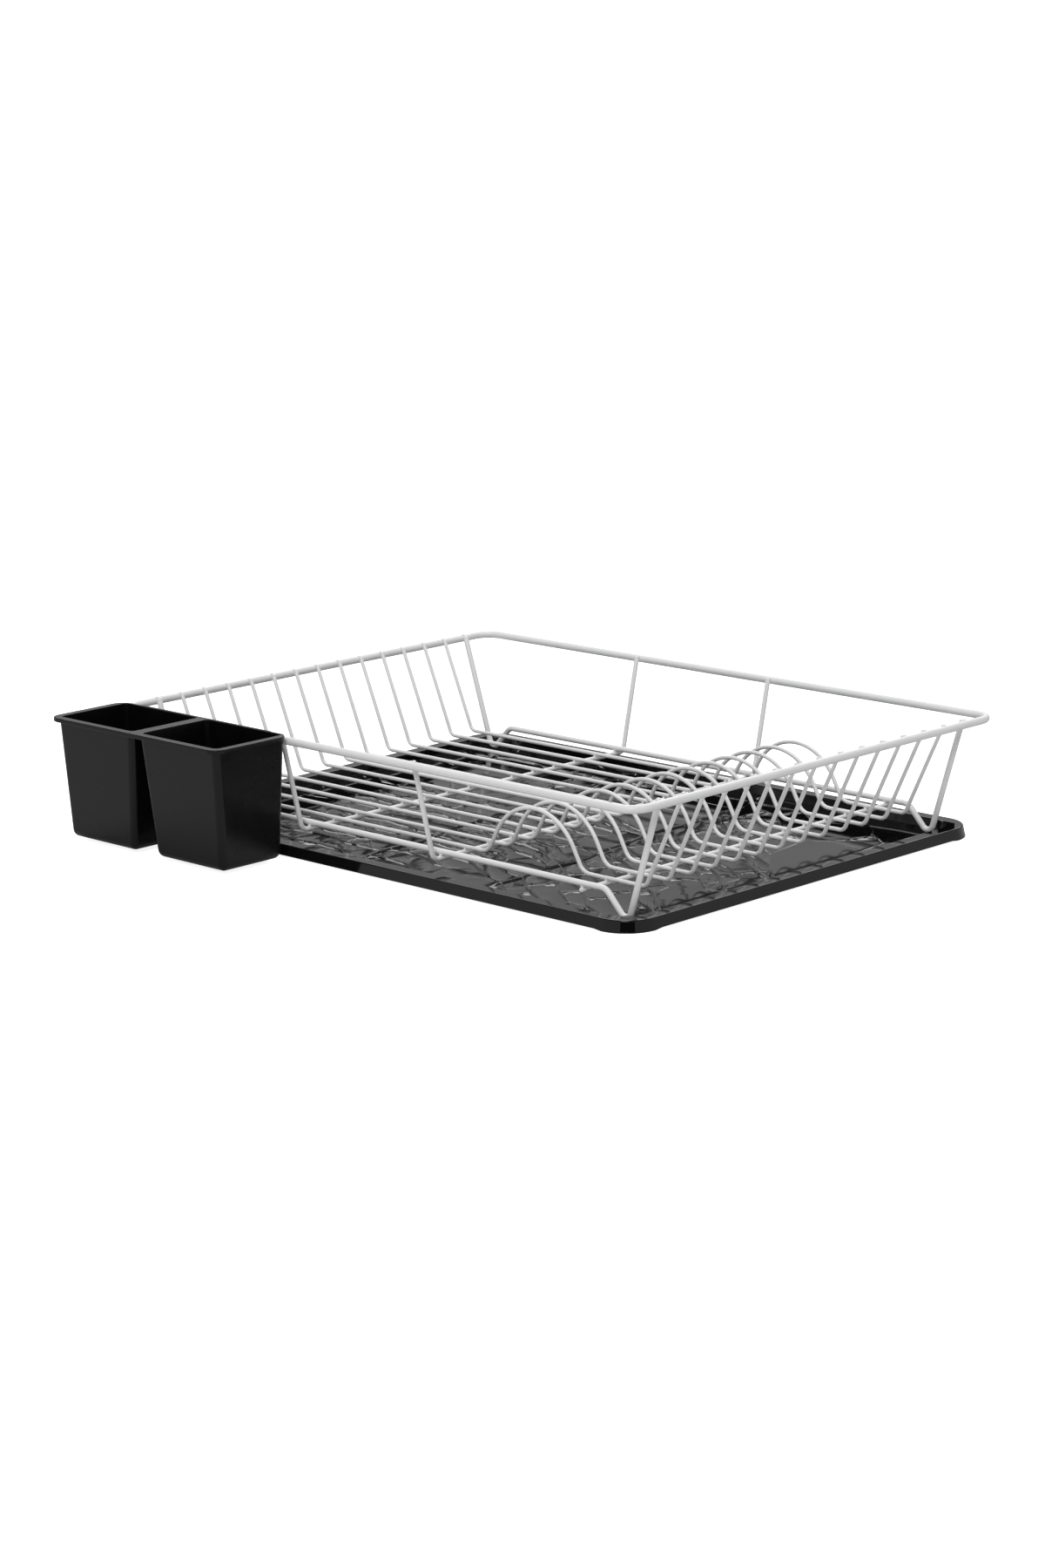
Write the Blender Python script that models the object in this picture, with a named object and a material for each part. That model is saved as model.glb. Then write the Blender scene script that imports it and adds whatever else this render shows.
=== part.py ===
"""Dish drying rack: a coated wire rack that stands in a drip tray, with a twin cutlery holder.

Metres, +Z up. +X points to the plate end of the rack and -Y to the side that carries the holder.
The origin is the middle of the drip tray's flat underside, on the worktop.
"""

import math

import bmesh
import bpy
from mathutils import Vector

# Fits
GAP = 0.0003                    # between pieces that touch or are welded

# Wires: diameters over the coating
RIM_WIRE = 0.0056
LEG_WIRE = 0.0042
CROSS_WIRE = 0.0035
PLATE_WIRE = 0.0028

# Basket
PLATE_WIRE_COUNT = 13
WIRE_PITCH = 0.022              # plate wires, and on to the leg wires beside them
RIM_SIDE_MARGIN = 0.029         # from a leg wire out to the rim's side
RIM_LENGTH = 0.488              # between the centres of the rim's end wires
RIM_HEIGHT = 0.0831             # rim centre above the worktop
RIM_CORNER_RADIUS = 0.014
BASE_HEIGHT = 0.019             # plate wires' centre above the worktop
WIRE_POKE = 0.0005              # cut ends above the top of the rim
PLATE_BEND_RADIUS = 0.006

# Insets from the rim's centre line to the corners at the foot of each upright
LEFT_BEND_INSET = 0.0321
RIGHT_BEND_INSET = 0.0366
CROSS_BEND_INSET = 0.0208

# Plate humps, along X
VALLEY_LENGTH = 0.055           # from a hump's right foot to the right-hand bend
HUMP_HALF_WIDTH = 0.0431
HUMP_RISE = 0.036
HUMP_LIMB_ANGLE = math.radians(61.5)
HUMP_FOOT_RADIUS = 0.010

# Cross wires and the short bar under the valley
LEFT_CROSS_TO_BEND = 0.1287
MIDDLE_CROSS_TO_HUMP = 0.0214
BAR_TO_BEND = 0.0342
BAR_POKE = 0.0015               # bar ends beyond the leg wires
CROSS_BEND_RADIUS = 0.006

# Leg wires
FOOT_INSET = 0.032              # from the rim's centre line to a foot
LEG_KNEE_INSET = 0.019          # from a foot to the bend above its inner limb
FOOT_RADIUS = 0.005
KNEE_RADIUS = 0.009

# Drip tray
TRAY_WALL = 0.0015
TRAY_HEIGHT = 0.0082
TRAY_FLANGE = 0.010
TRAY_SLOPE = 0.0015             # run of the tray's inner walls
TRAY_FLARE = 0.0016             # skirt's foot beyond the flange
TRAY_OUTER_RADIUS = 0.023
TRAY_INNER_RADIUS = 0.0175
TRAY_EDGE = 0.0008              # eased edges of the flange
FOOT_TO_WALL_X = 0.0090         # from a foot to the tray's inner wall
FOOT_TO_WALL_Y = 0.0100
SKIRT_LIFT = 0.0008             # skirt's sides above the worktop, between the corner pads
CORNER_PAD_RUN = 0.006          # a pad runs this far past its corner

# Cutlery holder
HOLDER_LENGTH = 0.175
HOLDER_WIDTH = 0.067
HOLDER_INSET = 0.003            # from the rim's left-hand centre line to the holder's end
HOLDER_TO_WORKTOP = 0.0025
HOLDER_WALL = 0.0018
LIP_HEIGHT = 0.003
LIP_OVERHANG = 0.0044
LIP_RADIUS = 0.0095
CUP_RADIUS = 0.005
CUP_EDGE_RADIUS = 0.005         # along the foot of each cup
CUP_SPACING = 0.006             # between the cups, under the lip
OUTER_DRAFT = 0.0031            # how far each cup wall leans in by its foot
INNER_DRAFT = 0.0082
FRONT_DRAFT = 0.0055
BACK_DRAFT = 0.0034
HOOK_THICKNESS = 0.0022
HOOK_LIP = 0.0013
HOOK_DEPTH = 0.008              # hook's lip below the top of the rail
HOOK_TO_CORNER = 0.006          # hook's ends clear of the rim's corner and the cross wire
HOOK_TO_CROSS = 0.008

# Smoothness of the solids
BEND_STEP = math.radians(20)
HUMP_STEP = math.radians(14)
RIM_STEP = math.radians(18)
CORNER_SEGMENTS = 6
TUBE_RESOLUTION = 2

# Places that follow from the sizes above, in the rack's own frame
half_length = RIM_LENGTH / 2
leg_y = (PLATE_WIRE_COUNT + 1) / 2 * WIRE_PITCH
half_width = leg_y + RIM_SIDE_MARGIN
rim_top = RIM_HEIGHT + RIM_WIRE / 2
upright_top = rim_top + WIRE_POKE
left_bend_x = -half_length + LEFT_BEND_INSET
right_bend_x = half_length - RIGHT_BEND_INSET
hump_right_x = right_bend_x - VALLEY_LENGTH
hump_left_x = hump_right_x - 2 * HUMP_HALF_WIDTH
left_cross_x = left_bend_x + LEFT_CROSS_TO_BEND
middle_cross_x = hump_left_x - MIDDLE_CROSS_TO_HUMP
bar_x = right_bend_x - BAR_TO_BEND
cross_height = BASE_HEIGHT - PLATE_WIRE / 2 - GAP - CROSS_WIRE / 2
leg_height = cross_height + CROSS_WIRE / 2 + GAP + LEG_WIRE / 2
foot_x = half_length - FOOT_INSET
foot_height = TRAY_WALL + GAP + LEG_WIRE / 2
tray_floor_half_x = foot_x + LEG_WIRE / 2 + FOOT_TO_WALL_X
tray_floor_half_y = leg_y + LEG_WIRE / 2 + FOOT_TO_WALL_Y


# ---------------------------------------------------------------- helpers

def clear_scene():
    for item in list(bpy.data.objects):
        bpy.data.objects.remove(item, do_unlink=True)


def make_material(name, colour, roughness, metallic=0.0):
    material = bpy.data.materials.new(name)
    material.use_nodes = True
    shader = material.node_tree.nodes["Principled BSDF"]
    shader.inputs["Base Color"].default_value = (*colour, 1.0)
    shader.inputs["Roughness"].default_value = roughness
    shader.inputs["Metallic"].default_value = metallic
    return material


def add_empty(name, location, parent=None):
    empty = bpy.data.objects.new(name, None)
    empty.location = location
    empty.parent = parent
    bpy.context.scene.collection.objects.link(empty)
    return empty


def add_object(name, data, material, parent=None, location=(0, 0, 0)):
    item = bpy.data.objects.new(name, data)
    if not data.materials:
        data.materials.append(material)
    item.location = location
    item.parent = parent
    bpy.context.scene.collection.objects.link(item)
    return item


def bend_points(before, corner, after, radius, step):
    """Points of the arc that rounds a corner between two straight runs."""
    to_before = (before - corner).normalized()
    to_after = (after - corner).normalized()
    half_angle = to_before.angle(to_after) / 2
    middle = (to_before + to_after).normalized()
    centre = corner + middle * radius / math.sin(half_angle)
    start = corner + to_before * radius / math.tan(half_angle) - centre
    sweep = math.pi - 2 * half_angle
    normal = start.cross(to_after - to_before).normalized()
    side = normal.cross(start)
    count = max(2, math.ceil(sweep / step))
    angles = [sweep * i / count for i in range(count + 1)]
    return [centre + start * math.cos(a) + side * math.sin(a) for a in angles]


def bent_path(corners, bends):
    """A wire's centre line: its corners, each inner one rounded by its (radius, step)."""
    points = [corners[0]]
    for before, corner, after, (radius, step) in zip(corners, corners[1:], corners[2:], bends):
        points += bend_points(before, corner, after, radius, step)
    return points + [corners[-1]]


def wire_curve(name, points, diameter, closed=False):
    curve = bpy.data.curves.new(name, "CURVE")
    curve.dimensions = "3D"
    curve.bevel_depth = diameter / 2
    curve.bevel_resolution = TUBE_RESOLUTION
    curve.use_fill_caps = True
    spline = curve.splines.new("POLY")
    spline.points.add(len(points) - 1)
    for point, place in zip(spline.points, points):
        point.co = (*place, 1.0)
    spline.use_cyclic_u = closed
    spline.use_smooth = True
    return curve


def upright_end(foot, rim_reach, distance):
    """Top of an upright that leans outwards (+X) from its foot and is welded inside the rim.

    Its centre line passes the rim's centre at the given distance, on the inner side.
    """
    to_rim = Vector((rim_reach, 0, RIM_HEIGHT)) - foot
    lean = math.atan2(to_rim.x, to_rim.z) - math.asin(distance / to_rim.length)
    rise = upright_top - foot.z
    return foot + Vector((rise * math.tan(lean), 0, rise))


def mirror_x(point):
    return Vector((-point.x, point.y, point.z))


def rounded_rectangle(half_x, half_y, radius, side_z, corner_z=None, shoulder=0.0):
    """One closed ring of points, counter-clockwise; its corners may sit lower than its sides."""
    if corner_z is None:
        corner_z = side_z
    ring = []
    for quarter in range(4):
        start = quarter * math.pi / 2
        centre = Vector((half_x - radius, half_y - radius, 0))
        if quarter in (1, 2):
            centre.x = -centre.x
        if quarter in (2, 3):
            centre.y = -centre.y
        first = Vector((math.cos(start), math.sin(start), 0))
        last = Vector((-first.y, first.x, 0))
        arc = []
        for i in range(CORNER_SEGMENTS + 1):
            angle = start + i * math.pi / 2 / CORNER_SEGMENTS
            spot = centre + radius * Vector((math.cos(angle), math.sin(angle), 0))
            arc.append(spot + Vector((0, 0, corner_z)))
        if shoulder:
            rise = Vector((0, 0, side_z - corner_z))
            arc.insert(0, arc[0] - last * shoulder + rise)
            arc.append(arc[-1] - first * shoulder + rise)
        ring += arc
    return ring


def lofted_mesh(name, rings):
    """A closed body from rings of equal length, capped at the first and the last."""
    mesh = bmesh.new()
    loops = [[mesh.verts.new(point) for point in ring] for ring in rings]
    for lower, upper in zip(loops, loops[1:]):
        for i in range(len(lower)):
            j = (i + 1) % len(lower)
            mesh.faces.new((lower[i], lower[j], upper[j], upper[i]))
    mesh.faces.new(list(reversed(loops[0])))
    mesh.faces.new(loops[-1])
    bmesh.ops.recalc_face_normals(mesh, faces=mesh.faces)
    data = bpy.data.meshes.new(name)
    mesh.to_mesh(data)
    mesh.free()
    data.shade_smooth()
    data.set_sharp_from_angle(angle=math.radians(40))
    return data


def add_boolean(target, tool, operation):
    tool.hide_render = True
    tool.display_type = "WIRE"
    modifier = target.modifiers.new(tool.name, "BOOLEAN")
    modifier.operation = operation
    modifier.solver = "EXACT"
    modifier.object = tool


# ---------------------------------------------------------------- wire rack

def rim_points():
    ring = []
    count = math.ceil(math.pi / 2 / RIM_STEP)
    for quarter in range(4):
        side_x = 1 if quarter in (0, 3) else -1
        side_y = 1 if quarter in (0, 1) else -1
        centre = Vector((side_x * (half_length - RIM_CORNER_RADIUS),
                         side_y * (half_width - RIM_CORNER_RADIUS), RIM_HEIGHT))
        for i in range(count + 1):
            angle = (quarter + i / count) * math.pi / 2
            ring.append(centre + RIM_CORNER_RADIUS * Vector((math.cos(angle), math.sin(angle), 0)))
    return ring


def plate_wire_points():
    """One plate wire: left upright, base, hump, valley over the bar, right upright."""
    distance = RIM_WIRE / 2 + PLATE_WIRE / 2 + GAP
    left_foot = Vector((-left_bend_x, 0, BASE_HEIGHT))
    right_foot = Vector((right_bend_x, 0, BASE_HEIGHT))
    meet = HUMP_HALF_WIDTH * math.tan(HUMP_LIMB_ANGLE)
    crown_radius = (meet - HUMP_RISE) / (1 / math.cos(HUMP_LIMB_ANGLE) - 1)
    corners = [
        mirror_x(upright_end(left_foot, half_length, distance)),
        mirror_x(left_foot),
        Vector((hump_left_x, 0, BASE_HEIGHT)),
        Vector((hump_left_x + HUMP_HALF_WIDTH, 0, BASE_HEIGHT + meet)),
        Vector((hump_right_x, 0, BASE_HEIGHT)),
        right_foot,
        upright_end(right_foot, half_length, distance),
    ]
    bend = (PLATE_BEND_RADIUS, BEND_STEP)
    foot = (HUMP_FOOT_RADIUS, BEND_STEP)
    crown = (crown_radius, HUMP_STEP)
    return bent_path(corners, [bend, foot, crown, foot, bend])


def leg_wire_points():
    """One leg wire: upright down to a V foot in the tray, up to the base run, and mirrored."""
    distance = RIM_WIRE / 2 + LEG_WIRE / 2 + GAP
    knee = Vector((foot_x - LEG_KNEE_INSET, 0, leg_height))
    foot = Vector((foot_x, 0, foot_height))
    for _ in range(40):
        top = upright_end(foot, half_length, distance)
        outer = (top - foot).normalized()
        inner = (knee - foot).normalized()
        middle = (outer + inner).normalized()
        half_sine = outer.cross(middle).length
        lowest = foot.z + middle.z * FOOT_RADIUS / half_sine - FOOT_RADIUS
        foot.z += foot_height - lowest
    half = [top, foot, knee]
    corners = half + [mirror_x(point) for point in reversed(half)]
    sharp = (FOOT_RADIUS, BEND_STEP)
    soft = (KNEE_RADIUS, BEND_STEP)
    return bent_path(corners, [sharp, soft, soft, sharp])


def cross_wire_points():
    """A U across the rack, in the YZ plane: rim, under the base wires, rim."""
    distance = RIM_WIRE / 2 + CROSS_WIRE / 2 + GAP
    foot = Vector((half_width - CROSS_BEND_INSET, 0, cross_height))
    top = upright_end(foot, half_width, distance)
    corners = [top, foot, mirror_x(foot), mirror_x(top)]
    bend = (CROSS_BEND_RADIUS, BEND_STEP)
    return [Vector((0, point.x, point.z)) for point in bent_path(corners, [bend, bend])]


def build_rack(frame, coating):
    add_object("rim_ring", wire_curve("rim_ring", rim_points(), RIM_WIRE, True), coating, frame)

    leg = wire_curve("leg_wire", leg_wire_points(), LEG_WIRE)
    add_object("leg_wire_front", leg, coating, frame, (0, -leg_y, 0))
    add_object("leg_wire_back", leg, coating, frame, (0, leg_y, 0))

    cross = wire_curve("cross_wire", cross_wire_points(), CROSS_WIRE)
    add_object("cross_wire_left", cross, coating, frame, (left_cross_x, 0, 0))
    add_object("cross_wire_middle", cross, coating, frame, (middle_cross_x, 0, 0))

    bar_end = Vector((0, leg_y + LEG_WIRE / 2 + BAR_POKE, 0))
    bar = wire_curve("cross_bar", [-bar_end, bar_end], CROSS_WIRE)
    add_object("cross_bar_right", bar, coating, frame, (bar_x, 0, cross_height))

    plate = wire_curve("plate_wire", plate_wire_points(), PLATE_WIRE)
    for i in range(PLATE_WIRE_COUNT):
        y = (i - (PLATE_WIRE_COUNT - 1) / 2) * WIRE_PITCH
        add_object(f"plate_wire_{i + 1:02d}", plate, coating, frame, (0, y, 0))


# ---------------------------------------------------------------- drip tray

def build_tray(plastic):
    """A moulded tray: flat floor, sloping wall, flange, and a skirt that flares to the worktop."""
    flange_in = TRAY_SLOPE + TRAY_FLANGE
    # Each ring: distance out from the floor's edge, height, corner radius.
    outside = [
        (flange_in + TRAY_FLARE, 0, TRAY_OUTER_RADIUS + TRAY_FLARE),
        (flange_in, TRAY_HEIGHT - TRAY_EDGE, TRAY_OUTER_RADIUS),
        (flange_in - TRAY_EDGE, TRAY_HEIGHT, TRAY_OUTER_RADIUS - TRAY_EDGE),
        (TRAY_SLOPE + TRAY_EDGE, TRAY_HEIGHT, TRAY_INNER_RADIUS + TRAY_SLOPE + TRAY_EDGE),
        (TRAY_SLOPE, TRAY_HEIGHT - TRAY_EDGE, TRAY_INNER_RADIUS + TRAY_SLOPE),
        (0, TRAY_WALL, TRAY_INNER_RADIUS),
    ]
    underside = [
        (TRAY_WALL, 0, TRAY_INNER_RADIUS + TRAY_WALL),
        (TRAY_SLOPE + TRAY_WALL, TRAY_HEIGHT - TRAY_WALL, TRAY_INNER_RADIUS + TRAY_SLOPE + TRAY_WALL),
        (flange_in - TRAY_WALL, TRAY_HEIGHT - TRAY_WALL, TRAY_OUTER_RADIUS - TRAY_WALL),
        (flange_in + TRAY_FLARE - TRAY_WALL, 0, TRAY_OUTER_RADIUS + TRAY_FLARE - TRAY_WALL),
    ]
    rings = []
    for out, z, radius in underside + outside:
        in_skirt = z == 0 and out > TRAY_WALL
        side_z = SKIRT_LIFT if in_skirt else z
        rings.append(rounded_rectangle(tray_floor_half_x + out, tray_floor_half_y + out, radius,
                                       side_z, z, CORNER_PAD_RUN))
    add_object("drip_tray", lofted_mesh("drip_tray", rings), plastic)


# ---------------------------------------------------------------- cutlery holder

def cup_rings(x_min, x_max, y_min, y_max, drafts, foot_z, top_z, radius, edge):
    """A tapered box with round corners and a rounded foot, from its foot up."""
    left, right, front, back = drafts
    rings = []
    steps = 3
    for i in range(steps + 1):
        angle = i * math.pi / 2 / steps
        pull = edge * (1 - math.sin(angle))
        rings.append((foot_z + edge * (1 - math.cos(angle)), pull))
    rings.append((top_z, 0.0))
    result = []
    for z, pull in rings:
        lean = (top_z - z) / (top_z - foot_z)
        x0 = x_min + left * lean + pull
        x1 = x_max - right * lean - pull
        y0 = y_min + front * lean + pull
        y1 = y_max - back * lean - pull
        centre = Vector(((x0 + x1) / 2, (y0 + y1) / 2, 0))
        corner = max(radius - pull, radius / 3)
        ring = rounded_rectangle((x1 - x0) / 2, (y1 - y0) / 2, corner, z)
        result.append([centre + point for point in ring])
    return result


def build_holder(rack_frame, plastic):
    """Two tapered cups under one lip, hung on the front rail by a hook along its back."""
    rail_y = -half_width
    top_z = rim_top + GAP + HOOK_THICKNESS
    lip_z = top_z - LIP_HEIGHT
    back_y = rail_y - RIM_WIRE / 2 - GAP
    frame = add_empty("holder_frame", (-half_length + HOLDER_INSET + HOLDER_LENGTH / 2, back_y, 0),
                      rack_frame)

    lip = [[Vector((0, -HOLDER_WIDTH / 2, 0)) + point for point in
            rounded_rectangle(HOLDER_LENGTH / 2, HOLDER_WIDTH / 2, LIP_RADIUS, z)]
           for z in (lip_z, top_z)]
    holder = add_object("cutlery_holder", lofted_mesh("cutlery_holder", lip), plastic, frame)

    hook_left = -half_length + RIM_CORNER_RADIUS + HOOK_TO_CORNER - frame.location.x
    hook_right = left_cross_x - HOOK_TO_CROSS - frame.location.x
    over_rail = RIM_WIRE + 2 * GAP + HOOK_LIP
    profile = [
        (-HOLDER_WALL, top_z), (-HOLDER_WALL, top_z - HOOK_THICKNESS),
        (over_rail - HOOK_LIP, top_z - HOOK_THICKNESS), (over_rail - HOOK_LIP, rim_top - HOOK_DEPTH),
        (over_rail, rim_top - HOOK_DEPTH), (over_rail, top_z),
    ]
    hook_ends = [[Vector((x, y, z)) for y, z in profile] for x in (hook_left, hook_right)]
    hook = add_object("holder_hook_form", lofted_mesh("holder_hook_form", hook_ends), plastic, frame)
    add_boolean(holder, hook, "UNION")

    outer_x = HOLDER_LENGTH / 2 - LIP_OVERHANG
    front_y = -HOLDER_WIDTH + LIP_OVERHANG
    for side, name in ((-1, "left"), (1, "right")):
        edges = sorted((side * CUP_SPACING / 2, side * outer_x))
        drafts = (OUTER_DRAFT, INNER_DRAFT) if side < 0 else (INNER_DRAFT, OUTER_DRAFT)
        drafts += (FRONT_DRAFT, BACK_DRAFT)
        body = cup_rings(*edges, front_y, 0, drafts, HOLDER_TO_WORKTOP, lip_z + LIP_HEIGHT / 2,
                         CUP_RADIUS, CUP_EDGE_RADIUS)
        form = add_object(f"cup_form_{name}", lofted_mesh(f"cup_form_{name}", body), plastic, frame)
        add_boolean(holder, form, "UNION")
    for side, name in ((-1, "left"), (1, "right")):
        edges = sorted((side * (CUP_SPACING / 2 + HOLDER_WALL), side * (outer_x - HOLDER_WALL)))
        drafts = (OUTER_DRAFT, INNER_DRAFT) if side < 0 else (INNER_DRAFT, OUTER_DRAFT)
        drafts += (FRONT_DRAFT, BACK_DRAFT)
        hollow = cup_rings(*edges, front_y + HOLDER_WALL, -HOLDER_WALL, drafts,
                           HOLDER_TO_WORKTOP + HOLDER_WALL, top_z + LIP_HEIGHT / 2,
                           CUP_RADIUS - HOLDER_WALL, CUP_EDGE_RADIUS - HOLDER_WALL)
        form = add_object(f"hollow_form_{name}", lofted_mesh(f"hollow_form_{name}", hollow), plastic,
                          frame)
        add_boolean(holder, form, "DIFFERENCE")


def main():
    clear_scene()
    coating = make_material("white_coated_wire", (0.80, 0.80, 0.79), 0.35)
    tray_plastic = make_material("black_tray_plastic", (0.012, 0.012, 0.013), 0.22)
    holder_plastic = make_material("black_holder_plastic", (0.014, 0.014, 0.015), 0.38)
    rack_frame = add_empty("rack_frame", (0, 0, 0))
    build_tray(tray_plastic)
    build_rack(rack_frame, coating)
    build_holder(rack_frame, holder_plastic)


main()
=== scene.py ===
# %% [markdown]
# # Dish drying rack: the looks
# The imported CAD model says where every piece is. It is made of plain faceted solids, so this notebook
# makes the surfaces that one sees: round wires with their weld beads under the coating, a glossy tray
# with a moulded relief, and a cutlery holder with soft moulded edges. Each new piece stands in the
# place of its CAD node and moves with the same body.

import math
import random

import bmesh
import bpy
import numpy as np
from mathutils import Matrix, Vector
from mathutils.geometry import delaunay_2d_cdt, tessellate_polygon


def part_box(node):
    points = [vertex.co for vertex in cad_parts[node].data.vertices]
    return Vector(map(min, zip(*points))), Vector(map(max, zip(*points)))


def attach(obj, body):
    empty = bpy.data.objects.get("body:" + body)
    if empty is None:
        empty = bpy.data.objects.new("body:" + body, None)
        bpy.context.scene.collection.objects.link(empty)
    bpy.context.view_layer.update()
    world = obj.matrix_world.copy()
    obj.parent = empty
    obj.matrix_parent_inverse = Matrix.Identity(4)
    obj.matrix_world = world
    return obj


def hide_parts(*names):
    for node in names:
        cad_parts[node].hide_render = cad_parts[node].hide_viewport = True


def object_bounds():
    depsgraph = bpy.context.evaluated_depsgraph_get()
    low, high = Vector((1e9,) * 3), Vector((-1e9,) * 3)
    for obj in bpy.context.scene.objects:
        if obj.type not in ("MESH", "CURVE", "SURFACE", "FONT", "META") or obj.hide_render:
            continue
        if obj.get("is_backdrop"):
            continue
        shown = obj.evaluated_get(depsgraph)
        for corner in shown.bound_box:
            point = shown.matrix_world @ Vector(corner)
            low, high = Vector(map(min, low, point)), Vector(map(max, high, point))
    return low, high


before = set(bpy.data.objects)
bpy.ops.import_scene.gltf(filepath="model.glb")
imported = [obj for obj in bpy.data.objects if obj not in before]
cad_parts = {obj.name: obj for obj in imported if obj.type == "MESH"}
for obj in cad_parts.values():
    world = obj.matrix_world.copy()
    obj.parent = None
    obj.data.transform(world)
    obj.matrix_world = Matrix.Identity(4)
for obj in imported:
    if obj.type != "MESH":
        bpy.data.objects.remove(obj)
cad_low, cad_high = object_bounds()
print("CAD box in millimetres:", [round(1000 * side) for side in cad_high - cad_low])

# %% [markdown]
# ## Camera
# A product picture of this kind is taken with a short telephoto lens, a little above the rim and
# from the corner where the plate humps are. The camera is given by the place where it stands, the two
# angles of the direction it looks in, and a slight roll, so each can be changed by itself.

# %% Camera
CAMERA_AZIMUTH = math.radians(44.32)
CAMERA_ELEVATION = math.radians(12.99)
CAMERA_ROLL = math.radians(0.896)
CAMERA_LENS_MM = 85.5
CAMERA_PLACE = Vector((1.7561, -1.8291, 0.6171))


def make_camera():
    """The scene's camera: it looks along its azimuth and elevation, turned a little on its own axis."""
    data = bpy.data.cameras.new("camera")
    data.lens = CAMERA_LENS_MM
    data.sensor_width = 36.0
    camera = bpy.data.objects.new("camera", data)
    back = Vector((math.sin(CAMERA_AZIMUTH) * math.cos(CAMERA_ELEVATION),
                   -math.cos(CAMERA_AZIMUTH) * math.cos(CAMERA_ELEVATION),
                   math.sin(CAMERA_ELEVATION)))
    aim = (-back).to_track_quat("-Z", "Y").to_matrix().to_4x4()
    roll = Matrix.Rotation(-CAMERA_ROLL, 4, "Z")
    camera.matrix_world = Matrix.Translation(CAMERA_PLACE) @ aim @ roll
    bpy.context.scene.collection.objects.link(camera)
    bpy.context.scene.camera = camera


make_camera()
print("camera stands", round(CAMERA_PLACE.length, 2), "m from the tray's middle")

# %% [markdown]
# ## Studio
# The rack stands on a white floor in soft light: a dim grey dome all round, brighter low down, a large
# soft box overhead, a wide soft sun from the front and a weaker one from behind. The floor that the
# camera sees is lit to white, so that it leaves no edge round the object, while the floor that the
# object sees, in its reflections and in the light from below, is a calmer grey. That takes two sheets
# of paper and their ray visibility.
#
# Glossy black plastic shows nothing but what it reflects, so a photographer chooses what stands round
# it. The overhead box lights matt surfaces only, as it would shine in every rib of the tray. Two low
# black cards stand on the tray's own flange along its far walls and paint a dark reflection into its
# floor there, a painted dark border. A tall one stands on the camera's side. The cards are seen in
# reflections only.

# %% Colours and shader nodes
def linear(hex_colour):
    """An sRGB hex colour as the linear values that a shader takes."""
    parts = [int(hex_colour[i:i + 2], 16) / 255 for i in (1, 3, 5)]
    parts = [c / 12.92 if c <= 0.04045 else ((c + 0.055) / 1.055) ** 2.4 for c in parts]
    return (*parts, 1.0)


def add_node(tree, kind, settings=None, **sockets):
    """Add one node. Settings are its properties; each socket takes a value or an output. A socket is
    named by its label, or by an underscore and its number where several share a label."""
    node = tree.nodes.new(kind)
    for name, value in (settings or {}).items():
        setattr(node, name, value)
    for name, value in sockets.items():
        key = int(name[1:]) if name[1:].isdigit() else name.replace("_", " ")
        socket = node.inputs[key]
        if isinstance(value, bpy.types.NodeSocket):
            tree.links.new(value, socket)
        else:
            socket.default_value = value
    return node


def plain_material(name, colour, glow=0.0):
    """Matt paper or card, with a glow of its own where a floor is lit to white."""
    material = bpy.data.materials.new(name)
    material.use_nodes = True
    shader = material.node_tree.nodes["Principled BSDF"]
    shader.inputs["Base Color"].default_value = linear(colour)
    shader.inputs["Roughness"].default_value = 1.0
    shader.inputs["Specular IOR Level"].default_value = 0.0
    shader.inputs["Emission Color"].default_value = (1, 1, 1, 1)
    shader.inputs["Emission Strength"].default_value = glow
    return material


print("a mid grey of #808080 is", round(linear("#808080")[0], 3), "in linear light")

# %% Paper, cards and lights
FLOOR_HALF = 150.0


def add_sheet(name, corners, faces, material, seen_by):
    """A flat sheet of paper or card that only the named kinds of ray meet."""
    mesh = bpy.data.meshes.new(name)
    mesh.from_pydata(corners, [], faces)
    mesh.materials.append(material)
    sheet = bpy.data.objects.new(name, mesh)
    bpy.context.scene.collection.objects.link(sheet)
    for ray in ("camera", "diffuse", "glossy", "transmission", "shadow"):
        setattr(sheet, f"visible_{ray}", ray in seen_by)
    sheet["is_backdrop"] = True


def add_floor(name, depth, material, seen_by):
    """A large square sheet a little below the worktop's level."""
    signs = ((-1, -1), (1, -1), (1, 1), (-1, 1))
    corners = [(x * FLOOR_HALF, y * FLOOR_HALF, -depth) for x, y in signs]
    add_sheet(name, corners, [(0, 1, 2, 3)], material, seen_by)


def add_light(name, kind, place, power, matt_only=False, **settings):
    """A light that shines from its place towards the rack, seen in reflections unless matt_only."""
    data = bpy.data.lights.new(name, kind)
    data.energy = power
    for key, value in settings.items():
        setattr(data, key, value)
    light = bpy.data.objects.new(name, data)
    light.location = place
    light.rotation_euler = (-Vector(place)).to_track_quat("-Z", "Y").to_euler()
    light.visible_glossy = not matt_only
    bpy.context.scene.collection.objects.link(light)


print("the floor is", 2 * FLOOR_HALF, "m wide")

# %% [markdown]
# The dome could be a picture of a real studio, but a plain fade does as much here: the tray mirrors
# the dome's low part, so that part sets the grey of the tray's floor, and its high part only lifts
# the shadows. The suns are wide, as a point of light would draw hard lines of shadow below each wire.

# %% Light the studio
DOME_LOW, DOME_HIGH = 0.46, 0.24
DOME_FADE = (0.2, 0.8)
FLOOR_GLOW = 0.88
WHITE_DEPTH, GREY_DEPTH = 0.0002, 0.0004
FRONT_SUN, BACK_SUN, SOFTBOX = (1.0, -1.5, 1.7), (-1.1, 1.5, 1.5), (-0.2, 0.2, 2.0)
FRONT_POWER, BACK_POWER, SOFTBOX_POWER = 1.15, 0.8, 15.0
FRONT_WIDTH, BACK_WIDTH, SOFTBOX_SIZE = math.radians(24), math.radians(40), 1.6

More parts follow.
